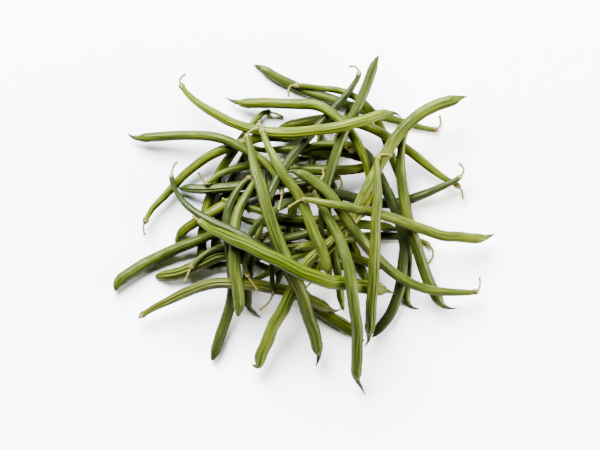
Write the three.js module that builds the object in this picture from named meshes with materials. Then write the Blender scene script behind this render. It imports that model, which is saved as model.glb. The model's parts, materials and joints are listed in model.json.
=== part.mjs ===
// A loose bundle of green beans. Each bean grew as one piece and is one solid: the cut stalk, the
// calyx it broke off with, the long pod and the pointed tail. The beans lie across each other on a
// flat surface, listed from the lowest to the topmost, and each one drops onto those before it.

import * as THREE from "three";

// Driving dimensions, in millimetres.
const STALK_RADIUS = 0.6;
const STALK_END_RADIUS = 0.85; // the cut end is a little swollen
const STALK_END_LENGTH = 1.2;
const STALK_END_SHARE = 0.33; // or this much of a very short stalk
const CALYX_RADIUS = 1.9;
const CALYX_SHARE = 0.6; // or this much of the radius of a slender pod
const CALYX_LENGTH = 3;
const CALYX_RIM = 0.5; // the stalk widens into the calyx over this much on each side
const TAIL_BASE_RADIUS = 0.9;
const TAIL_RADIUS = 0.6; // halfway
const TAIL_TIP_RADIUS = 0.42;
const TAIL_START = 0.5; // where the pod has narrowed to the tail, past its last point
const HIDDEN_STALK = 6; // a stalk or tail that a row leaves out runs straight on by this much
const HIDDEN_TAIL = 5;
const GAP = 0.35; // clearance between two beans that touch
const PRESSED = 0.15; // how far the surface flattens the underside of a bean that lies on it
const NECK_LENGTH = 28; // the slender end of a pod, next to its calyx
const TAPER_LENGTH = 15; // the rounded end of a pod, next to its tail
const RING_STEP = 13; // distance between the rings of a pod
const STALK_STEP = 3; // and of a stalk
const SIDES = 8; // facets around a bean, one of them straight down

// How a pod narrows, as [share of the neck or taper, share of the pod's radius] pairs.
const NECK = [[0, 0.5], [0.25, 0.6], [0.6, 0.73], [1, 0.87]];
const TAPER = [[0.45, 0.94], [0.75, 0.77], [0.92, 0.48]];

// How a bean settles: a springy rod, heavy enough to bend a little over what it lies on.
const SPAN_DIVISIONS = 10; // for measuring along a centre line, between two of its points
const SAMPLE_STEP = 1.5;
const SLOPE_STEP = 1e-3; // share of its length over which a bean's slope is taken
const SHAPES = 9; // shapes that its height along the bean is made of, from level and tilted to wavy
const STIFFNESS = 13000; // bending stiffness over weight per length, in cubic millimetres
const SUPPORT = 300; // how hard a support pushes back, against the weight of one sample
const ROUNDS = 60; // steps of the settling, each one halved until it helps
const SMALLEST_SHARE = 1e-4; // or until it is this much of a whole step
const FAINT_SUPPORT = 1e-6; // keeps a bean that hangs free from moving without limit

const SHADES = {
  bright: 0xa3bf3c,
  pale: 0x94ad55,
  leaf: 0x76923f,
  olive: 0x8f9440,
  deep: 0x536c37,
};

// Each bean, from the lowest to the topmost: its shade, the pod's width, then the plan of its centre
// line as the stalk from its cut end, the pod from its calyx, and the tail to its tip. Some rows end
// with the heights to which the bean's own curve holds up its stalk and its tail.
const BEANS = [
  ["deep", 6.4, [],
    [[-36, 57], [-41, 47], [-46, 36], [-51, 25], [-56, 12], [-59, 0], [-60, -14], [-58, -26]], []],
  ["deep", 6.4, [],
    [[23, 18], [27, 6], [32, -7], [37, -19], [41, -30], [44, -38]], []],
  ["deep", 6, [],
    [[-41, -19], [-30, -27], [-18, -32.5], [-5, -32.5], [8, -29], [20, -28], [31, -30]], []],
  ["deep", 6.2, [],
    [[-12, 39], [-4, 44.5], [6, 46.5], [14, 47], [24, 50.5], [35, 52]], []],
  ["deep", 6.2, [],
    [[-29, -9], [-20, -5], [-9, -2.5], [2, -7], [13, -9], [24, -5], [34, -2]], []],
  ["deep", 5.8, [],
    [[-33, 12], [-25, 16.5], [-15, 19.5], [-4, 22], [6, 25], [14, 29]], []],
  ["deep", 6.2, [],
    [[13, 64], [11, 55], [8, 46], [3, 34], [-2, 22], [-7, 9], [-9, -4], [-12, -18], [-15, -31],
    [-16.5, -38]], []],
  ["deep", 6, [],
    [[33, 80], [29, 72], [25.5, 62], [22, 50], [19, 38], [20, 28], [24, 17], [30, 8], [38, 1]], []],
  ["deep", 6.4, [],
    [[-48, 7], [-38, 3], [-27, 1], [-15, 1.5], [-3, 0.5], [8, -0.5], [20, 0], [32, 0.5], [44, 0],
    [55, -1.5], [63, -3]], []],
  ["deep", 6, [],
    [[-36, -40], [-28, -36], [-18, -30], [-8, -24], [1, -20.5], [12, -19], [24, -20], [36, -23],
    [44, -26], [50, -29]], []],
  ["deep", 6.2, [],
    [[-38, 54.5], [-29, 52], [-20, 52], [-12, 52.5], [-3, 51], [6, 50.5], [16, 50.5], [26, 50],
    [36, 48], [43, 45]], []],
  ["deep", 6.5, [[-13.5, 75], [-18, 77]],
    [[-22.5, 78], [-27, 77.5], [-34, 70], [-43.5, 57], [-54, 41], [-63, 23], [-67.5, 7], [-69.5, -8],
    [-69.5, -19], [-68.5, -27]], []],
  ["leaf", 6.6, [],
    [[6, 27], [-12, 27.5], [-30, 23.5], [-54, 13.5], [-67, 5.5], [-75, 0.8], [-82, -4], [-86.5, -10]],
    [[-88.2, -13.2]]],
  ["deep", 8.2, [],
    [[-49, -1.5], [-56, -4.5], [-70, -9.8], [-80, -14.2], [-90, -18.5], [-100, -22.7], [-110, -27.5],
    [-120, -34], [-126, -38.7], [-129.2, -43.5]], [[-130, -46.3]], [0, 4]],
  ["deep", 6, [],
    [[-66, -30.5], [-52, -27], [-38, -24], [-22, -20.5], [-4, -17.5]], []],
  ["leaf", 7.8, [],
    [[0, -14], [-12, -15], [-25, -16.5], [-38, -18.5], [-50, -20.5], [-62, -23.5], [-72, -28],
    [-80, -32], [-90, -34.5], [-100, -36]], [[-102, -36.3]]],
  ["leaf", 6.5, [[20, 23.5], [25.5, 24.8], [27.5, 28]],
    [[26, 32], [18, 32], [0, 30], [-25, 28], [-45, 26.5], [-60, 25], [-72, 24.6], [-83, 25]],
    [[-86, 25.2]]],
  ["deep", 6, [],
    [[-50, 16], [-38, 12], [-28, 8.7], [-12, 5], [3, 3.5], [18, 3], [33, 5], [46, 9]], []],
  ["leaf", 6.6, [[-72, 36.2], [-69, 31]],
    [[-67, 28.5], [-60, 33], [-50, 37.8], [-38, 41], [-20, 41], [0, 38.5], [20, 37.5], [36, 38.5],
    [46, 40]], []],
  ["leaf", 6.6, [[-109.3, -7.3], [-110.3, -2]],
    [[-109.2, 1.5], [-105.5, 8.5], [-100, 14.7], [-90, 26], [-80, 36.3], [-65, 46.6], [-50, 53.7],
    [-30, 60], [-12, 60.5], [0, 60]], [], [8, 0]],
  ["leaf", 5.5, [[-81, -39.5], [-79, -34]],
    [[-77, -30], [-70, -22.5], [-60, -17], [-45, -13.5], [-30, -13.5], [-20, -11.5], [-8, -9], [5, -5],
    [14, -1]], []],
  ["deep", 6.5, [],
    [[-25, 12], [-30, -5], [-34, -20], [-37.5, -35], [-38.6, -47], [-37, -57.3]], [[-35, -59.5],
    [-29, -64.5]]],
  ["leaf", 7.2, [],
    [[-36, 33], [-44, 25.5], [-50, 14], [-52, 0], [-50, -20], [-48.3, -38], [-49, -50], [-51.3, -60],
    [-54.2, -70], [-57.7, -80], [-61.8, -92]], [[-62.8, -95.3]], [0, 3]],
  ["deep", 8.4, [],
    [[-22, 0], [-14, -21], [-6.5, -37], [-0.5, -48.3], [8.5, -57], [19.5, -64], [32.5, -72.3],
    [39.5, -77.5]], [[43, -81]]],
  ["olive", 7.4, [[-113.5, -65]],
    [[-112, -63.5], [-100, -56.5], [-85, -49], [-70, -43], [-50, -40.5], [-30, -42], [-12, -46],
    [2, -50.5], [19, -59]], [[23, -60], [27.5, -58.5]], [8, 0]],
  ["deep", 5, [[-29.5, -59], [-24.5, -55.3], [-22, -52]],
    [[-20.5, -48.5], [-20.5, -40], [-21, -28], [-20, -15], [-20.5, 0], [-22, 20], [-24, 38]], []],
  ["pale", 5, [[-31, -45.5], [-34.5, -40.5]],
    [[-37.5, -36], [-40.5, -25], [-39, -14], [-34, -4], [-26, 5], [-15, 12.5], [0, 18.5], [9, 20]], []],
  ["pale", 8, [],
    [[-31, 33], [-36, 25], [-42.5, 13], [-46, 0], [-47, -17], [-46, -32], [-44.5, -45], [-43.6, -54],
    [-44.1, -61]], [[-44.8, -64.5]]],
  ["leaf", 5.6, [[-86.8, 43.5], [-89.3, 39.8]],
    [[-90.5, 34.5], [-89.7, 28], [-88, 23.5], [-84.5, 18.3], [-78, 11.6], [-66, 4.3], [-50, -3.5],
    [-35, -12], [-18, -21.5], [-4, -28.5]], [], [14, 0]],
  ["leaf", 6.5, [[-16.4, 10], [-15, 15.5]],
    [[-14, 20.5], [-16, 30], [-21, 38], [-30, 46], [-40, 52], [-55, 59.3], [-70, 61.3], [-85, 61.8],
    [-100, 61], [-114, 60]], [[-117.5, 60.7], [-121.5, 63.2]], [0, 4]],
  ["leaf", 6.4, [[95.5, 76], [96, 70]],
    [[93.5, 66.5], [80, 68.2], [66, 72], [48, 77.5], [29, 84], [5, 92], [-10.6, 98.5], [-29, 109]],
    [[-34, 111]]],
  ["deep", 5.4, [[-9.3, 88.5], [-9.5, 92.5], [-8.5, 96]],
    [[-5, 96.5], [10.6, 95.3], [28.6, 92], [44.5, 82.7], [53.5, 70], [60, 53], [66, 37], [72, 23.5]],
    [[75.8, 13]]],
  ["leaf", 6.8, [[111.8, 17.5], [111.2, 22]],
    [[109, 26], [100.5, 31.3], [89.5, 39.2], [70.5, 53.2], [49.5, 66.3], [33, 71.5], [17, 73], [0, 71],
    [-13, 68]], [[-20, 65.5]], [4, 0]],
  ["leaf", 5.8, [[108.5, 42.5], [111.3, 40], [112, 37]],
    [[110, 33.5], [104, 29.5], [90, 23.3], [76.5, 18], [64, 14.7], [50, 15.5], [35, 19], [16, 22]],
    [], [8, 0]],
  ["deep", 6, [[88, -27], [90.7, -22], [90.6, -17.5]],
    [[88.5, -14.5], [81, -11], [68, -8.3], [50, -8], [32, -9.5], [14, -13], [-2, -16.5]], []],
  ["deep", 5.8, [],
    [[60, 25], [66, 12], [72, -3], [74, -20], [72.5, -37], [71.8, -46], [73.3, -54]], [[76, -57.3],
    [81, -58.5]]],
  ["deep", 5.2, [],
    [[15, 33], [17, 16], [19, 0], [21.5, -14], [24, -30], [26, -45], [27.8, -56]], [[28.5, -60]]],
  ["deep", 6.4, [[-7.5, 38.5], [-7.8, 42.5]],
    [[-8, 46.5], [0, 51.8], [10.6, 54.8], [21, 55.5], [32, 54.5], [42, 51], [49, 43], [51.5, 30],
    [51, 15]], []],
  ["olive", 5.4, [[2.5, -43.5], [7, -39.5]],
    [[10, -35], [13, -27], [18, -19], [25, -11], [34, 1], [42, 11], [47, 20]], []],
  ["deep", 7.2, [[29.5, 53.5]],
    [[33, 51], [41, 50.5], [47, 45.5], [53, 34], [59, 22], [65.5, 7], [69.8, -8], [70, -27],
    [67.8, -42], [65, -53], [60.5, -62.5], [55, -70.5], [51.3, -75.5]], [[48.5, -78.5]], [0, 3]],
  ["leaf", 7.8, [],
    [[72.3, 65.5], [69.3, 57], [68.5, 40], [69.8, 22], [74.5, 0], [80.7, -20], [86.7, -36], [93, -49.5],
    [97, -55.7]], [[101, -57.8], [107.4, -58.4]], [0, 3]],
  ["deep", 6.4, [[32.6, 109.5], [36.5, 109.5]],
    [[39.3, 106], [38, 101], [28, 86.5], [16, 74], [2, 58], [-9, 44], [-18, 30], [-24, 17]], [], [14, 0]],
  ["leaf", 7, [],
    [[48, 24], [46, 33], [43.5, 43], [38, 56.5], [32, 66], [23, 75.3], [14, 81.2], [0, 83.2], [-25, 84],
    [-44, 84.8]], [[-49, 86], [-53.5, 88.5]], [0, 4]],
  ["leaf", 6.6, [],
    [[14, -12], [13, 0], [15, 17], [20, 40], [27.6, 61], [36, 76], [43.8, 95], [50.8, 113]],
    [[53, 117]], [0, 26]],
  ["pale", 7, [[-81, 104], [-84.5, 101]],
    [[-84, 97], [-77, 88], [-60, 76.5], [-40, 67.3], [-20, 64], [0, 64], [21, 66.5], [42.4, 72],
    [60, 77]], [[64, 77], [68.5, 74.6]], [18, 0]],
  ["pale", 8.2, [],
    [[26, -4], [20, -10.5], [3.5, -26.8], [-9.3, -51], [-20.5, -72], [-28, -90], [-31, -98]],
    [[-35, -97.5]], [0, 8]],
  ["pale", 8, [],
    [[32, -3], [35.5, 8], [44, 24], [56, 45.5], [66, 62], [80, 75], [95, 83.2], [108.5, 87.3]],
    [[111, 88], [113.8, 88.5]], [0, 27]],
  ["leaf", 8.4, [[-26, 66], [-31, 66.5], [-35, 65]],
    [[-38, 62], [-36, 53], [-32, 38], [-26, 17], [-19.8, -3], [-13, -20], [-1.5, -45], [5, -65],
    [9.3, -80], [11.5, -89.5]], [[11.2, -93], [9.4, -98.3]], [0, 8]],
  ["pale", 7.4, [],
    [[-28, 66], [-23.3, 53], [-12.7, 35], [-1, 17], [6, 0], [13, -16], [18.5, -33]], []],
  ["bright", 9.2, [],
    [[-71, 2.5], [-62, -4], [-48, -10], [-30, -18], [-10, -28], [5, -35], [20, -39.3], [38, -42.2],
    [57, -45.5]], [[64, -47.8]]],
  ["pale", 7.8, [[14.5, 33.5], [12, 30]],
    [[9.5, 24], [11.5, 16], [18, 4], [26, -11], [31.8, -30], [35.2, -52], [37.5, -70], [38, -90],
    [38, -107]], [[40.3, -111.5], [43.8, -118.3]], [0, 4]],
  ["pale", 7.2, [[123, -36.4], [123.4, -42]],
    [[121.5, -46], [108, -47], [90, -45.8], [72, -39.3], [55, -26.6], [42.5, -12.3], [30, 3.8],
    [18, 21.3], [5.3, 32], [-4, 36]], [[-7.5, 36.8], [-11, 36]], [9, 0]],
  ["pale", 7, [[-9.5, 12], [-5, 14.8]],
    [[0.5, 17], [15, 15], [31.8, 11.5], [55, 6.6], [74, 0.2], [92, -6.5], [110, -9], [127, -9]],
    [[130, -8], [133.7, -6.6]], [0, 9]],
  ["leaf", 7.2, [[62, 47.3], [58, 48.3]],
    [[52.5, 47.5], [52, 32], [51.3, 10.6], [50.2, -14], [48.3, -50], [46.4, -76]], [[45.8, -80.5],
    [43.5, -84.5]], [0, 7]],
];

// The radius of a bean along its centre line, as [distance from the stalk's end, radius] pairs: a thin
// stalk, the calyx, a slender neck that fills out slowly, and a quick round taper to the tail.
function profile(width, calyx, podEnd, tip) {
  const r = width / 2;
  const neckStart = calyx + CALYX_LENGTH;
  const plainStart = neckStart + NECK_LENGTH;
  const plainEnd = podEnd - TAPER_LENGTH;
  const fullRadius = NECK.at(-1)[1];
  const calyxRadius = Math.min(CALYX_RADIUS, CALYX_SHARE * r);
  const stalkEnd = Math.min(STALK_END_LENGTH, STALK_END_SHARE * calyx);
  const points = [[0, STALK_END_RADIUS], [stalkEnd, STALK_RADIUS]];
  const stalkSteps = Math.round(calyx / STALK_STEP);
  for (let i = 1; i < stalkSteps; i++) points.push([(calyx * i) / stalkSteps, STALK_RADIUS]);
  points.push([calyx - CALYX_RIM, STALK_RADIUS], [calyx + CALYX_RIM, calyxRadius]);
  for (const [along, share] of NECK) points.push([neckStart + along * NECK_LENGTH, share * r]);
  const steps = Math.max(1, Math.round((plainEnd - plainStart) / RING_STEP));
  for (let i = 1; i <= steps; i++) {
    const share = Math.min(1, THREE.MathUtils.lerp(fullRadius, 2 - fullRadius, i / steps));
    points.push([THREE.MathUtils.lerp(plainStart, plainEnd, i / steps), share * r]);
  }
  for (const [along, share] of TAPER) points.push([plainEnd + along * TAPER_LENGTH, share * r]);
  points.push([podEnd + TAIL_START, TAIL_BASE_RADIUS], [(podEnd + tip) / 2, TAIL_RADIUS]);
  points.push([tip, TAIL_TIP_RADIUS]);
  return points;
}

function radiusAt(points, distance) {
  const after = points.findIndex(([d]) => d >= distance);
  if (after <= 0) return points.at(after)[1];
  const [[d0, r0], [d1, r1]] = [points[after - 1], points[after]];
  return THREE.MathUtils.mapLinear(distance, d0, d1, r0, r1);
}

// A point that carries a line of points straight on past its end by the given length.
function beyond(end, before, length) {
  const away = new THREE.Vector2(...end).sub(new THREE.Vector2(...before)).setLength(length);
  return [end[0] + away.x, end[1] + away.y];
}

// A bean's centre line in plan, with its profile and the samples at which it can touch another bean.
function layOut(width, stalk, pod, tail, rise) {
  const first = stalk.length ? stalk : [beyond(pod[0], pod[1], HIDDEN_STALK)];
  const last = tail.length ? tail : [beyond(pod.at(-1), pod.at(-2), HIDDEN_TAIL)];
  const points = [...first, ...pod, ...last];
  const plan = new THREE.CatmullRomCurve3(points.map(([x, y]) => new THREE.Vector3(x, y, 0)));
  plan.arcLengthDivisions = SPAN_DIVISIONS * (points.length - 1);
  const lengths = plan.getLengths();
  const total = plan.getLength();
  const podEnd = lengths[SPAN_DIVISIONS * (points.length - 1 - last.length)];
  const radii = profile(width, lengths[SPAN_DIVISIONS * first.length], podEnd, total);
  const samples = [];
  const count = Math.ceil(total / SAMPLE_STEP);
  for (let i = 0; i <= count; i++) {
    const along = i / count;
    samples.push({ along, at: plan.getPointAt(along), radius: radiusAt(radii, along * total) });
  }
  return { plan, total, radii, samples, rise };
}

// The lowest that each sample of a bean can lie, over the surface and over the beans already down.
function lowestHeights(bean, settled) {
  return bean.samples.map(({ at, radius }) => {
    let height = radius * Math.cos(Math.PI / SIDES) - PRESSED;
    for (const other of settled)
      for (const sample of other.samples) {
        const reach = radius + sample.radius + GAP;
        const away = Math.hypot(at.x - sample.at.x, at.y - sample.at.y);
        if (away < reach) height = Math.max(height, sample.at.z + Math.sqrt(reach ** 2 - away ** 2));
      }
    return height;
  });
}

// Holds up one end of a bean: it runs straight to that height from the highest thing under its half.
function holdUp(lowest, height) {
  const half = lowest.slice(0, Math.ceil(lowest.length / 2));
  const top = half.indexOf(Math.max(...half));
  return lowest.map((value, i) =>
    i < top ? Math.max(value, THREE.MathUtils.lerp(height, lowest[top], i / top)) : value);
}

// The Legendre polynomials over the length of a bean: level, tilted, arched and wavier.
function shapesAt(along) {
  const t = 2 * along - 1;
  const values = [1, t];
  for (let n = 1; n < SHAPES - 1; n++)
    values.push(((2 * n + 1) * t * values[n] - n * values[n - 1]) / (n + 1));
  return values;
}

const dot = (a, b) => a.reduce((sum, value, i) => sum + value * b[i], 0);

// The solution of a small set of linear equations, by elimination.
function solve(matrix, right) {
  const rows = matrix.map((row, i) => [...row, right[i]]);
  rows.forEach((row, i) => {
    for (const other of rows.slice(i + 1)) {
      const factor = other[i] / row[i];
      row.forEach((value, j) => { other[j] -= factor * value; });
    }
  });
  const answer = [];
  for (let i = rows.length - 1; i >= 0; i--) {
    const known = answer.reduce((sum, value, j) => sum + value * rows[i][j], 0);
    answer[i] = (rows[i].at(-1) - known) / rows[i][i];
  }
  return answer;
}

// Lets a bean down onto its supports: Newton's method on its weight, its bending and the pushing back.
function settle(bean, settled) {
  const [stalkRise, tailRise] = bean.rise;
  const held = holdUp(lowestHeights(bean, settled), stalkRise);
  const lowest = holdUp(held.reverse(), tailRise).reverse();
  const shapes = bean.samples.map(({ along }) => shapesAt(along));
  const step = bean.total / (shapes.length - 1);
  const bends = shapes.slice(2).map((after, i) =>
    after.map((value, n) => (value - 2 * shapes[i + 1][n] + shapes[i][n]) / step ** 2));
  const energy = (c) => {
    const weight = shapes.reduce((sum, shape, i) => {
      const height = dot(shape, c);
      return sum + height + 0.5 * SUPPORT * Math.max(0, lowest[i] - height) ** 2;
    }, 0);
    return weight + bends.reduce((sum, bend) => sum + 0.5 * STIFFNESS * dot(bend, c) ** 2, 0);
  };
  let c = shapesAt(0).map((value, n) => (n === 0 ? Math.max(...lowest) : 0));
  for (let round = 0; round < ROUNDS; round++) {
    const slope = c.map(() => 0);
    const matrix = c.map(() => c.map(() => 0));
    const add = (shape, pull, weight) => shape.forEach((value, n) => {
      slope[n] += pull * value;
      shape.forEach((other, m) => { matrix[n][m] += weight * value * other; });
    });
    shapes.forEach((shape, i) => {
      const sunk = Math.max(0, lowest[i] - dot(shape, c));
      add(shape, 1 - SUPPORT * sunk, sunk > 0 ? SUPPORT : SUPPORT * FAINT_SUPPORT);
    });
    for (const bend of bends) add(bend, STIFFNESS * dot(bend, c), STIFFNESS);
    const move = solve(matrix, slope);
    const moved = (share) => c.map((value, n) => value - share * move[n]);
    const now = energy(c);
    let share = 1;
    while (share > SMALLEST_SHARE && energy(moved(share)) > now) share /= 2;
    c = moved(share);
  }
  c[0] += Math.max(...shapes.map((shape, i) => lowest[i] - dot(shape, c)));
  bean.heights = (along) => dot(shapesAt(along), c);
  for (const sample of bean.samples) sample.at.z = bean.heights(sample.along);
}

// A bean's solid about its own middle: a lathed profile whose axis is laid along the settled centre
// line, and flattened where it lies on the surface.
function beanGeometry({ plan, total, radii, heights }, middle) {
  const outline = [[0, 0], ...radii, [total, 0]].map(([d, r]) => new THREE.Vector2(r, d));
  const lathe = new THREE.LatheGeometry(outline, SIDES, Math.PI / SIDES);
  const position = lathe.getAttribute("position");
  const point = new THREE.Vector3();
  for (let i = 0; i < position.count; i++) {
    point.fromBufferAttribute(position, i);
    const along = THREE.MathUtils.clamp(point.y / total, 0, 1);
    const ahead = plan.getTangentAt(along);
    const climb = (heights(along + SLOPE_STEP) - heights(along - SLOPE_STEP)) / (2 * SLOPE_STEP * total);
    const forward = ahead.clone().setZ(climb).normalize();
    const side = new THREE.Vector3(ahead.y, -ahead.x, 0).normalize();
    const up = new THREE.Vector3().crossVectors(side, forward);
    const place = plan.getPointAt(along).setZ(heights(along));
    place.addScaledVector(side, point.x).addScaledVector(up, point.z);
    place.z = Math.max(0, place.z);
    position.setXYZ(i, place.x - middle.x, place.y - middle.y, place.z - middle.z);
  }
  lathe.computeVertexNormals();
  return lathe;
}

const pile = new THREE.Group();
const settled = [];
for (const [shade, width, stalk, pod, tail, rise] of BEANS) {
  const bean = layOut(width, stalk, pod, tail, rise ?? [0, 0]);
  settle(bean, settled);
  settled.push(bean);
  const middle = bean.plan.getPointAt(0.5).setZ(bean.heights(0.5));
  const skin = new THREE.MeshStandardMaterial({ color: SHADES[shade], roughness: 0.42, metalness: 0 });
  const mesh = new THREE.Mesh(beanGeometry(bean, middle), skin);
  mesh.name = `bean_${String(settled.length).padStart(2, "0")}`;
  mesh.position.copy(middle);
  pile.add(mesh);
}

// The bundle stands on the middle of its own footprint.
const bundle = new THREE.Group();
const footprint = new THREE.Box3().setFromObject(pile).getCenter(new THREE.Vector3());
pile.position.set(-footprint.x, -footprint.y, 0);
bundle.add(pile);

export default bundle;
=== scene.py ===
import json
import math
import random

import bmesh
import bpy
import numpy as np
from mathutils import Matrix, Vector


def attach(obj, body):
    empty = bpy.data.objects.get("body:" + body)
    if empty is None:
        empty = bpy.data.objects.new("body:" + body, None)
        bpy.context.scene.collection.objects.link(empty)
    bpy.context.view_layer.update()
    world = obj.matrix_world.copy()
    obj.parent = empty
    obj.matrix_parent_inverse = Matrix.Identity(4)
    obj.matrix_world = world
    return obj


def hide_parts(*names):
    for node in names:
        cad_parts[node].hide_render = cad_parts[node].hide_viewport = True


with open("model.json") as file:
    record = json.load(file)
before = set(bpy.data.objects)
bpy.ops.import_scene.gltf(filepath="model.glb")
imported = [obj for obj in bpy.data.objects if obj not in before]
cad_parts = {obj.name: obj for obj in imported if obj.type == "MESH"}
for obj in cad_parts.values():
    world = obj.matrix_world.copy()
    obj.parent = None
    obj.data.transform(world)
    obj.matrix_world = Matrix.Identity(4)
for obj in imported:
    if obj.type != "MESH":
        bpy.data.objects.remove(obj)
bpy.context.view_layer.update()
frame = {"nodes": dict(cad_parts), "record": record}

# --- The beans ----------------------------------------------------------------------------------
# Each bean grew as one piece: a thin cut stalk, a papery calyx with a ragged rim, and a slightly
# oval pod that has a double rib on one seam, a single one on the other, faint swellings over the
# seeds and a dark pointed beak. Its thin waxy skin is streaked along the pod and freckled.
MM = 0.001

# The greens of each shade: light for the streaks, the freckles and the painted highlight on the
# ribs, mid for the ground, and dark for the broad patches and the painted shade in the grooves.
SHADES = {
    "bright": ((0.0405, 0.0600, 0.0009), (0.0132, 0.0216, 0.0002), (0.0068, 0.0111, 0.0004)),
    "pale": ((0.0826, 0.1022, 0.0071), (0.0224, 0.0309, 0.0017), (0.0074, 0.0115, 0.0017)),
    "leaf": ((0.0568, 0.0704, 0.0050), (0.0137, 0.0194, 0.0011), (0.0046, 0.0071, 0.0011)),
    "olive": ((0.0861, 0.0899, 0.0063), (0.0243, 0.0263, 0.0014), (0.0086, 0.0097, 0.0014)),
    "deep": ((0.0420, 0.0556, 0.0039), (0.0086, 0.0136, 0.0008), (0.0034, 0.0051, 0.0008)),
}
RIPE = (0.073, 0.078, 0.0035, 1)
STALK_GREEN = (0.090, 0.096, 0.014, 1)
STALK_TAN = (0.080, 0.048, 0.015, 1)
CALYX_CREAM = (0.220, 0.165, 0.055, 1)
CALYX_BROWN = (0.036, 0.019, 0.008, 1)
TAIL_DARK = (0.010, 0.013, 0.007, 1)
DEEPEST = (0.005, 0.008, 0.004, 1)

# How much of its colour each of these lays over the ground, where it is strongest.
PATCH_DARK = 0.75
PATCH_RIPE = 0.55
FRECKLE_LIGHT = 0.60
# The ribs' light is a painted highlight along the ridges.
RIB_PAINTED_HIGHLIGHT = 0.70
# The grooves' dark is painted shade in the creases.
GROOVE_PAINTED_SHADE = 0.85
NECK_LIGHT = 0.45

# The mottles. The scale is in spots a millimetre; low and high are the noise where a spot begins
# and where it is full; lengthwise, less than 1, draws the spots out along the bean.
BROAD_PATCHES = {"scale": 0.11, "low": 0.36, "high": 0.70, "lengthwise": 0.30}
RIPE_PATCHES = {"scale": 0.07, "low": 0.50, "high": 0.85, "lengthwise": 0.40}
STREAKS = {"scale": 0.80, "low": 0.40, "high": 0.68, "lengthwise": 0.06, "detail": 3}
FRECKLES = {"scale": 2.40, "low": 0.56, "high": 0.72, "lengthwise": 0.60, "detail": 1}
STALK_PATCHES = {"scale": 0.70, "low": 0.40, "high": 0.65}
CALYX_PATCHES = {"scale": 0.90, "low": 0.38, "high": 0.56, "detail": 3}
DULL_PATCHES = {"scale": 0.50, "low": 0.30, "high": 0.70}
WRINKLES = {"scale": 0.90, "low": 0.20, "high": 0.80, "lengthwise": 0.15}
DENTS = {"scale": 0.22, "low": 0.20, "high": 0.80, "lengthwise": 0.30}

WRINKLE_DEPTH = 0.10  # millimetres
DENT_DEPTH = 0.55
RELIEF = 0.7  # how strongly both show
ROUGHNESS = (0.28, 0.42)  # of the waxiest skin and of the dullest
GLOSS = 0.10  # of skin seen face on
GLOSS_FADES = (0.40, 0.75)  # how edge-on it is where the gloss starts to fade and where it is gone
GLOSS_TINT = (0.86, 1.0, 0.42, 1)


def mixed(tree, factor, first, second):
    """A colour between two; the factor and the colours are plain values or output sockets."""
    node = tree.nodes.new("ShaderNodeMix")
    node.data_type = "RGBA"
    sockets = (node.inputs[0], node.inputs[6], node.inputs[7])
    for socket, value in zip(sockets, (factor, first, second)):
        if isinstance(value, bpy.types.NodeSocket):
            tree.links.new(value, socket)
        else:
            socket.default_value = value
    return node.outputs[2]


def mottle(tree, straight, scale, low, high, lengthwise=1, detail=2):
    """Noise in the bean's own straightened shape, from 0 where it is below low to 1 above high."""
    place = tree.nodes.new("ShaderNodeMapping")
    place.inputs["Scale"].default_value = (1, 1, lengthwise)
    noise = tree.nodes.new("ShaderNodeTexNoise")
    noise.inputs["Scale"].default_value = scale
    noise.inputs["Detail"].default_value = detail
    ramp = tree.nodes.new("ShaderNodeMapRange")
    ramp.inputs["From Min"].default_value = low
    ramp.inputs["From Max"].default_value = high
    tree.links.new(straight, place.inputs["Vector"])
    tree.links.new(place.outputs["Vector"], noise.inputs["Vector"])
    tree.links.new(noise.outputs["Fac"], ramp.inputs["Value"])
    return ramp.outputs["Result"]


def mark(tree, name):
    """A mark that the bean's mesh carries on its points."""
    node = tree.nodes.new("ShaderNodeAttribute")
    node.attribute_name = name
    return node.outputs["Vector" if name == "straight" else "Fac"]


def bean_colour(tree, straight, light, mid, dark):
    """The colours of the skin, laid on one over the other."""
    patches = mottle(tree, straight, **BROAD_PATCHES)
    colour = mixed(tree, patches, mid, mixed(tree, PATCH_DARK, mid, dark))
    colour = mixed(tree, mottle(tree, straight, **STREAKS), colour, light)
    ripe = mottle(tree, straight, **RIPE_PATCHES)
    colour = mixed(tree, ripe, colour, mixed(tree, PATCH_RIPE, colour, RIPE))
    freckles = mottle(tree, straight, **FRECKLES)
    colour = mixed(tree, freckles, colour, mixed(tree, FRECKLE_LIGHT, colour, light))
    # Painted highlight along the ribs.
    colour = mixed(tree, mark(tree, "rib"), colour, mixed(tree, RIB_PAINTED_HIGHLIGHT, colour, light))
    # Painted shade in the grooves.
    colour = mixed(tree, mark(tree, "groove"), colour, mixed(tree, GROOVE_PAINTED_SHADE, colour, dark))
    colour = mixed(tree, mark(tree, "neck"), colour, mixed(tree, NECK_LIGHT, colour, light))
    colour = mixed(tree, mark(tree, "deeper"), colour, DEEPEST)
    colour = mixed(tree, mark(tree, "tail"), colour, TAIL_DARK)
    stem = mixed(tree, mottle(tree, straight, **STALK_PATCHES), STALK_GREEN, STALK_TAN)
    colour = mixed(tree, mark(tree, "stalk"), colour, stem)
    papery = mixed(tree, mottle(tree, straight, **CALYX_PATCHES), CALYX_CREAM, CALYX_BROWN)
    return mixed(tree, mark(tree, "calyx"), colour, papery)


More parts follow.
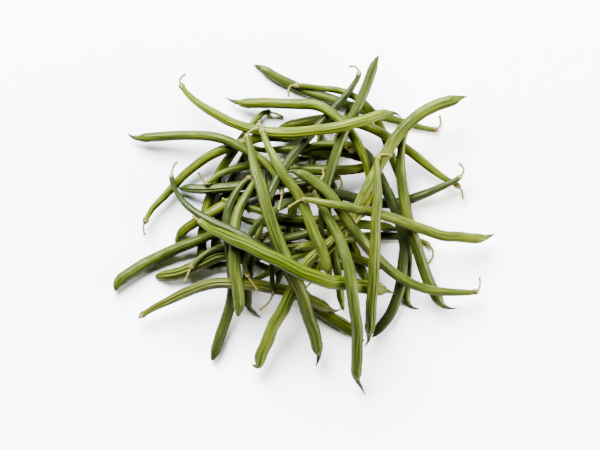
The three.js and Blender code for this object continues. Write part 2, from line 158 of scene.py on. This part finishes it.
def bean_skin(shade, greens):
    """The waxy skin: its colours, its wrinkles and dents, and a gloss that fades at its edges."""
    skin = bpy.data.materials.new("bean_skin_" + shade)
    skin.use_nodes = True
    tree = skin.node_tree
    shader = tree.nodes["Principled BSDF"]
    straight = mark(tree, "straight")
    light, mid, dark = [(*green, 1) for green in greens]
    colour = bean_colour(tree, straight, light, mid, dark)
    tree.links.new(colour, shader.inputs["Base Color"])

    normal = shader.inputs["Normal"]
    for relief, depth in ((WRINKLES, WRINKLE_DEPTH), (DENTS, DENT_DEPTH)):
        bump = tree.nodes.new("ShaderNodeBump")
        bump.inputs["Strength"].default_value = RELIEF
        bump.inputs["Distance"].default_value = depth * MM
        tree.links.new(mottle(tree, straight, **relief), bump.inputs["Height"])
        tree.links.new(bump.outputs["Normal"], normal)
        normal = bump.inputs["Normal"]

    wax = tree.nodes.new("ShaderNodeMapRange")
    wax.inputs["To Min"].default_value = ROUGHNESS[0]
    wax.inputs["To Max"].default_value = ROUGHNESS[1]
    tree.links.new(mottle(tree, straight, **DULL_PATCHES), wax.inputs["Value"])
    tree.links.new(wax.outputs["Result"], shader.inputs["Roughness"])

    edge = tree.nodes.new("ShaderNodeLayerWeight")
    gloss = tree.nodes.new("ShaderNodeMapRange")
    gloss.inputs["From Min"].default_value = GLOSS_FADES[0]
    gloss.inputs["From Max"].default_value = GLOSS_FADES[1]
    gloss.inputs["To Min"].default_value = GLOSS
    gloss.inputs["To Max"].default_value = 0
    tree.links.new(edge.outputs["Facing"], gloss.inputs["Value"])
    tree.links.new(gloss.outputs["Result"], shader.inputs["Specular IOR Level"])
    shader.inputs["Specular Tint"].default_value = GLOSS_TINT
    return skin


skins = {shade: bean_skin(shade, greens) for shade, greens in SHADES.items()}

# How each bean looks from above: how far its double rib is rolled from the top, in degrees, how
# high the rib stands, in millimetres, and how much darker it is made than its shade, in tenths.
# The rest are left to chance.
LOOKS = {
    "bean_12": (80, 0.20, 0),
    "bean_13": (70, 0.20, 0),
    "bean_14": (95, 0.16, 2),
    "bean_16": (5, 0.50, 3),
    "bean_17": (-15, 0.34, 7),
    "bean_19": (70, 0.22, 3),
    "bean_20": (85, 0.18, 0),
    "bean_21": (-75, 0.20, 6),
    "bean_23": (-60, 0.34, 7),
    "bean_24": (-25, 0.40, 0),
    "bean_25": (2, 0.46, 5),
    "bean_26": (90, 0.16, 8),
    "bean_27": (75, 0.20, 8),
    "bean_28": (-32, 0.26, 6),
    "bean_29": (30, 0.26, 8),
    "bean_30": (100, 0.20, 3),
    "bean_31": (65, 0.22, 4),
    "bean_33": (-80, 0.18, 1),
    "bean_34": (85, 0.20, 8),
    "bean_40": (-60, 0.30, 7),
    "bean_41": (80, 0.20, 4),
    "bean_42": (-70, 0.22, 8),
    "bean_43": (95, 0.18, 0),
    "bean_44": (-36, 0.36, 6),
    "bean_45": (25, 0.30, 1),
    "bean_46": (4, 0.46, 3),
    "bean_47": (46, 0.40, 4),
    "bean_48": (26, 0.34, 4),
    "bean_49": (75, 0.20, 4),
    "bean_50": (-22, 0.60, 2),
    "bean_51": (-55, 0.34, 6),
    "bean_52": (70, 0.22, 6),
    "bean_53": (-65, 0.24, 4),
    "bean_54": (-20, 0.36, 3),
}
ROUND_TIPS = {"bean_16", "bean_23", "bean_28"}  # their beaks have been rubbed off
FULLNESS = 1.05  # how much fuller a pod is than its solid
FULLER = {"bean_34": 1.25}  # riper than its neighbours

# The solid's rings, counted from its tail: the last at the pod's full radius, and the pod's last.
FULL_RING = -7
END_RING = -3
SOLID_SIDES = 8

# From here on sizes are in millimetres, and distances run along the bean from its cut end.
SIDES = 40
CROWDED = 0.32  # how far the points of a ring gather at the two seams
STALK_STEP = 0.7  # between rings
POD_STEP = 1.3
END_STEP = 0.4
FINE_START = 3  # the stretches with close rings, after the pod's start and before its end
FINE_END = 8
TANGENT = 0.3  # how far behind and ahead a ring's direction is taken
LOWEST = 0.02  # a bean is pressed a little flat where it lies on the board

CALYX_RADIUS = 0.9  # thicker than any stalk
CALYX_BACK = 0.5  # from the solid's first thick ring back to the calyx
KNOB_STOPS = 2.0  # before the calyx
STALK_STOPS = 2.2
POD_BEGINS = 3  # after the calyx
POD_REACH = 2.0  # how much further than the solid's the pod's blunt end goes
BLUNT = 11  # the stretch that rounds off to it
CUP_SHARE = 0.6  # the calyx's radius, as a share of the pod's and this much more
CUP_MORE = 0.2
WIDEST_CUP = 2.2
BEAK_TIP = 0.36  # the beak's radius at its tip, and how much thicker it grows
BEAK_GROWS = 1.5
BEAK_INSIDE = 1.5  # how far inside the pod's end it starts

FIRST_SEED = 24  # after the pod's start
LAST_SEED = 22  # before its end
HALF_SEED = 3.4
HOLLOW = 0.4  # how far the pod sinks between its seeds, as a share of a swelling
FLATTENED = 0.03  # how much flatter than round the pod is
LOW_RIB = 0.2  # how high a rib stands that isn't seen from above
CLEAR_RIB = 0.45  # a rib this high shows the painted highlight and painted groove shade in full
FRAYED_OUT = 0.16
FRAYED_ALONG = 0.6

# Where one part of a bean gives way to the next: from and to, beside the calyx or the pod's ends.
STALK_ENDS = (-1.2, -0.3)
CALYX_STARTS = (-0.9, 0.2)
RIBS_START = (0, 10)
NECK_ENDS = (0, 22)
RIBS_END = (-5, -0.5)
TAIL_STARTS = (-2, 1.5)

# The ribs and grooves around the pod: the angle from the seam they go with, and their width.
DOUBLE_RIB = (0.30, 0.15)
SINGLE_RIB = (0, 0.15)
SEAM_LINE = (0, 0.08)
FRONT_GROOVE = (0.66, 0.15)
BACK_GROOVE = (0.34, 0.13)
SINGLE_HEIGHT = 0.7  # beside the double rib's
FAINT_DEPTH = 0.3  # of the other two grooves, beside the seam's line
GROOVE_DEPTH = 0.7  # beside the height of the rib

# The painted highlight on the ribs and the painted shade in the grooves come and go along the pod.
SHOWN = 0.7
WAVER = 0.3
WAVER_LENGTH = 9

# What chance gives a bean, from and to; turns are in degrees, and the starts of waves in radians.
ROLLS = (60, 120)
DEPTHS = (0, 3)  # in tenths
CUP_SHARES = (0.85, 1.10)
STALK_RADII = (0.64, 0.80)
SEED_GAPS = (8.5, 14)
SWELLINGS = (0.10, 0.28)
TWISTS = (-25, 25)
BEND_LENGTHS = (22, 70)
BEND_SIZES = (0.08, 0.20)
BENDS = 3
FRAY_COUNTS = (2.5, 5.5)
PATCH_PLACES = (0, 4000)
PHASES = (0, 6.3)
LAP = 6.28  # one whole wave

# The knob at the cut end: distance and radius.
KNOB = ((0, 0.60), (0.08, 0.92), (0.5, 1.00), (1.0, 0.88), (1.6, 0.74))
# The calyx, up over its rim and back in under it: distance beside it, radius as a share of the
# cup's, and how frayed it is.
CALYX = (
    (-1.3, 0.36, 0),
    (-0.8, 0.50, 0),
    (-0.3, 0.74, 0),
    (0.2, 0.90, 0),
    (0.8, 0.97, 0),
    (1.4, 1.00, 0.4),
    (1.9, 1.06, 0.9),
    (2.05, 1.02, 1),
    (1.9, 0.93, 0.9),
    (1.3, 0.86, 0.2),
)
MARKS = ("rib", "groove", "neck", "tail", "stalk", "calyx", "deeper")
UPWARDS = Vector((0, 0, 1))


def rings_of(node):
    """The centres and radii of a solid bean's rings, in millimetres, from its stalk to its tail."""
    bm = bmesh.new()
    bm.from_mesh(node.data)
    bmesh.ops.remove_doubles(bm, verts=bm.verts, dist=1e-6)
    bm.verts.index_update()
    lines = []
    for pole in bm.verts:
        if len(pole.link_faces) != SOLID_SIDES:
            continue
        seen, ring, walk = {pole}, [pole], []
        while ring:
            beyond = {edge.other_vert(vert) for vert in ring for edge in vert.link_edges} - seen
            ring = sorted(beyond, key=lambda vert: vert.index)
            seen.update(ring)
            walk.append(ring)
        walk = walk[:-2]  # without the other pole and the empty ring past it
        if all(len(ring) == SOLID_SIDES for ring in walk):
            centres = [sum((v.co for v in ring), Vector()) / SOLID_SIDES / MM for ring in walk]
            radii = [max((v.co / MM - c).length for v in ring) for ring, c in zip(walk, centres)]
            lines.append((np.array(centres), np.array(radii)))
    bm.free()
    return max(lines, key=lambda line: line[1][0])  # the cut end is thicker than the tail's


def eased(x, known, values):
    """A smooth curve through values at the known distances."""
    slopes = np.gradient(values, known, axis=0)
    i = min(max(int(np.searchsorted(known, x, side="right")) - 1, 0), len(known) - 2)
    width = known[i + 1] - known[i]
    t = (x - known[i]) / width
    return (
        (1 + 2 * t) * (1 - t) ** 2 * values[i]
        + t * (1 - t) ** 2 * width * slopes[i]
        + t * t * (3 - 2 * t) * values[i + 1]
        - t * t * (1 - t) * width * slopes[i + 1]
    )


def hump(x, centre, width):
    """1 at the centre, falling off to nothing over about twice the width."""
    return math.exp(-(((x - centre) / width) ** 2))


def step(x, place, span):
    """0 before the span beside a place, 1 after it, and a smooth slope between."""
    start, end = place + span[0], place + span[1]
    t = min(1.0, max(0.0, (x - start) / (end - start)))
    return t * t * (3 - 2 * t)


# A ring is its distance along the bean, its radius, how frayed it is, and whether it is the pod's.
def stalk_rings(calyx, chance):
    """The swollen cut end and the thin, slightly uneven stalk."""
    rings = [(along, radius, 0, False) for along, radius in KNOB if along < calyx - KNOB_STOPS]
    while rings[-1][0] < calyx - STALK_STOPS:
        rings.append((rings[-1][0] + STALK_STEP, chance.uniform(*STALK_RADII), 0, False))
    return rings


def calyx_rings(calyx, cup):
    """The calyx, whose last ring is inside it, where the pod begins."""
    return [(calyx + beside, cup * share, frayed, False) for beside, share, frayed in CALYX]


def rounded(along, pod_end):
    """How full the pod is where it rounds off to its blunt end, from 1 to 0, and 0 before that."""
    if along <= pod_end - BLUNT:
        return 0
    return max(0, 1 - (1 - (pod_end - along) / BLUNT) ** 2.2) ** 0.8


def beak(along, pod_end, total):
    """The radius of the beak, which is thickest where it leaves the pod."""
    left = (total - along) / (total - pod_end + BEAK_INSIDE)
    return BEAK_TIP + BEAK_GROWS * max(0, min(1, left)) ** 1.3


for name, node in sorted(frame["nodes"].items()):
    chance = random.Random(name)
    guessed = (chance.uniform(*ROLLS), LOW_RIB, chance.uniform(*DEPTHS))
    roll, rib_height, deeper = LOOKS.get(name, guessed)
    centres, radii = rings_of(node)
    plump = FULLER.get(name, FULLNESS)
    known = np.concatenate(([0], np.cumsum(np.linalg.norm(np.diff(centres, axis=0), axis=1))))
    rim = next(i for i in range(2, len(radii)) if radii[i] > CALYX_RADIUS)
    calyx = float(known[rim]) - CALYX_BACK
    pod_start = calyx + POD_BEGINS
    pod_end = float(known[END_RING]) + POD_REACH
    total = float(known[-1])
    pod_line = known[rim + 1 : END_RING + 1]
    pod_radii = radii[rim + 1 : END_RING + 1] * plump
    blunt = float(radii[FULL_RING]) * plump
    cup = min(WIDEST_CUP, CUP_SHARE * float(radii.max()) + CUP_MORE) * chance.uniform(*CUP_SHARES)

    stations = stalk_rings(calyx, chance) + calyx_rings(calyx, cup)
    tip = pod_end if name in ROUND_TIPS else total
    along = stations[-1][0]
    while along < tip:
        fine = along < pod_start + FINE_START or along > pod_end - FINE_END
        along = min(tip, along + (END_STEP if fine else POD_STEP))
        radius = 0
        if along < pod_line[-1]:
            radius = float(eased(max(along, pod_line[0]), pod_line, pod_radii))
        radius = max(radius, blunt * rounded(along, pod_end), beak(along, pod_end, total))
        stations.append((along, radius, 0, True))

    # Its seeds, the height of their swellings, its slight twist and bends, its frays and patches.
    seeds = [pod_start + FIRST_SEED]
    while seeds[-1] < pod_end - LAST_SEED:
        seeds.append(seeds[-1] + chance.uniform(*SEED_GAPS))
    swell = chance.uniform(*SWELLINGS)
    twist = math.radians(chance.uniform(*TWISTS))
    bends = [
        (chance.uniform(*BEND_LENGTHS), chance.uniform(*PHASES), chance.uniform(*BEND_SIZES))
        for _ in range(BENDS)
    ]
    lobes = [(chance.uniform(*FRAY_COUNTS), chance.uniform(*PHASES)) for _ in range(2)]
    patch = chance.uniform(*PATCH_PLACES)

    bm = bmesh.new()
    straight = bm.verts.layers.float_vector.new("straight")
    marks = {kind: bm.verts.layers.float.new(kind) for kind in MARKS}
    turn = bm.verts.layers.int.new("turn")
    ring = bmesh.ops.create_circle(bm, segments=SIDES, radius=MM)["verts"]
    for i, vert in enumerate(ring):
        vert[turn] = i
    edges = first = list(bm.edges)
    for number, (along, radius, frayed, of_pod) in enumerate(stations):
        if number:
            grown = bmesh.ops.extrude_edge_only(bm, edges=edges)["geom"]
            ring = [g for g in grown if isinstance(g, bmesh.types.BMVert)]
            fresh = set(ring)
            edges = [g for g in grown if isinstance(g, bmesh.types.BMEdge) and fresh.issuperset(g.verts)]
        centre = Vector(eased(along, known, centres))
        behind = Vector(eased(max(0, along - TANGENT), known, centres))
        beyond = Vector(eased(min(total, along + TANGENT), known, centres))
        ahead = (beyond - behind).normalized()
        side = ahead.cross(UPWARDS).normalized()
        up = side.cross(ahead)
        in_pod = 0
        if of_pod:
            in_pod = step(along, pod_start, RIBS_START) * (1 - step(along, pod_end, RIBS_END))
        sway = in_pod * sum(size * math.sin(along / wave * LAP + phase) for wave, phase, size in bends)
        seed = sum(hump(along, place, HALF_SEED) for place in seeds) - HOLLOW
        faded = SHOWN + WAVER * math.sin(along / WAVER_LENGTH + bends[0][1])
        # How strongly the ribs' painted highlight and the grooves' painted shade show here.
        painted_light_shown = in_pod * faded * min(1, (rib_height / CLEAR_RIB) ** 1.5)
        for vert in ring:
            turned = 2 * math.pi * vert[turn] / SIDES
            around = turned - CROWDED * math.sin(2 * turned)
            front = min(around, 2 * math.pi - around)
            back = abs(math.pi - around)
            ribs = hump(front, *DOUBLE_RIB) + SINGLE_HEIGHT * hump(back, *SINGLE_RIB)
            faint = hump(front, *FRONT_GROOVE) + hump(back, *BACK_GROOVE)
            grooves = hump(front, *SEAM_LINE) + FAINT_DEPTH * faint
            reach = radius + in_pod * (
                rib_height * (ribs - GROOVE_DEPTH * grooves)
                - FLATTENED * radius * math.cos(2 * around)
                + swell * seed * math.sin(around) ** 2
            )
            fray = frayed * sum(math.sin(count * around + phase) for count, phase in lobes)
            reach += FRAYED_OUT * fray
            angle = around + math.radians(roll) + twist * (along / total - 0.5)
            outward = math.sin(angle) * side + math.cos(angle) * up
            vert.co = (centre + reach * outward + sway * side + FRAYED_ALONG * fray * ahead) * MM
            vert.co.z = max(vert.co.z, LOWEST * MM)
            vert[straight] = (reach * math.cos(around), reach * math.sin(around), along + patch)
            # Where the painted highlight lies on the ribs.
            vert[marks["rib"]] = painted_light_shown * min(1, ribs)
            # Where the painted shade lies in the grooves.
            vert[marks["groove"]] = painted_light_shown * min(1, grooves)
            vert[marks["neck"]] = 1 - step(along, pod_start, NECK_ENDS) if of_pod else 0
            vert[marks["tail"]] = step(along, pod_end, TAIL_STARTS)
            vert[marks["stalk"]] = 1 - step(along, calyx, STALK_ENDS)
            vert[marks["calyx"]] = 0 if of_pod else step(along, calyx, CALYX_STARTS)
            vert[marks["deeper"]] = deeper / 10
    bmesh.ops.holes_fill(bm, edges=first + edges, sides=0)
    bmesh.ops.recalc_face_normals(bm, faces=bm.faces)
    mesh = bpy.data.meshes.new(name + "_grown")
    bm.to_mesh(mesh)
    bm.free()
    mesh.shade_smooth()
    bean = bpy.data.objects.new(name + "_grown", mesh)
    bpy.context.scene.collection.objects.link(bean)
    shade = next(part["material_slot"] for part in frame["record"]["subparts"] if part["node"] == name)
    mesh.materials.append(skins[shade])
    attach(bean, "root")
    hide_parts(name)

# --- The surface --------------------------------------------------------------------------------
# The beans lie loose on a plain white board with a dull finish, large enough that its edge is
# never seen.
HALF_BOARD = 3.0
BOARD_WHITE = (0.90, 0.90, 0.91, 1)
BOARD_ROUGHNESS = 0.9

bm = bmesh.new()
bmesh.ops.create_grid(bm, x_segments=1, y_segments=1, size=HALF_BOARD)
mesh = bpy.data.meshes.new("board")
bm.to_mesh(mesh)
bm.free()
board = bpy.data.objects.new("board", mesh)
bpy.context.scene.collection.objects.link(board)
white = bpy.data.materials.new("white_board")
white.use_nodes = True
finish = white.node_tree.nodes["Principled BSDF"]
finish.inputs["Base Color"].default_value = BOARD_WHITE
finish.inputs["Roughness"].default_value = BOARD_ROUGHNESS
mesh.materials.append(white)

# --- Light --------------------------------------------------------------------------------------
# A large cool softbox towards the back and a smaller, warm and weaker one on the right, with a
# faint even room around them.
SOFTBOXES = (  # name, place, watts, width and tint
    ("softbox", (-0.80, 2.25, 1.85), 1560, 2.2, (0.92, 0.97, 1)),
    ("warm_softbox", (2.75, -0.66, 0.90), 640, 1.6, (1, 0.95, 0.86)),
)
ROOM_TINT = (0.78, 0.87, 1, 1)
ROOM_LIGHT = 0.025

for name, place, watts, width, tint in SOFTBOXES:
    lamp = bpy.data.objects.new(name, bpy.data.lights.new(name, "AREA"))
    lamp.data.shape = "DISK"
    lamp.data.size = width
    lamp.data.energy = watts
    lamp.data.color = tint
    lamp.location = place
    lamp.rotation_euler = (-lamp.location).to_track_quat("-Z", "Y").to_euler()
    bpy.context.scene.collection.objects.link(lamp)
room = bpy.data.worlds.new("white_room")
room.use_nodes = True
background = room.node_tree.nodes["Background"]
background.inputs["Color"].default_value = ROOM_TINT
background.inputs["Strength"].default_value = ROOM_LIGHT
bpy.context.scene.world = room

# --- Camera -------------------------------------------------------------------------------------
# It looks straight down from far above, so that the heap is hardly larger at its top, and takes
# in 416 mm across its frame at the level of the lower beans.
HEIGHT = 5.0
WIDTH = 0.4158
LEVEL = 0.015
AIM = (-0.00328, 0.00032)
SENSOR = 36
FARTHEST = 20

camera = bpy.data.objects.new("camera", bpy.data.cameras.new("camera"))
camera.location = (*AIM, HEIGHT)
camera.data.sensor_width = SENSOR
camera.data.lens = SENSOR * (HEIGHT - LEVEL) / WIDTH
camera.data.clip_end = FARTHEST
bpy.context.scene.collection.objects.link(camera)
bpy.context.scene.camera = camera
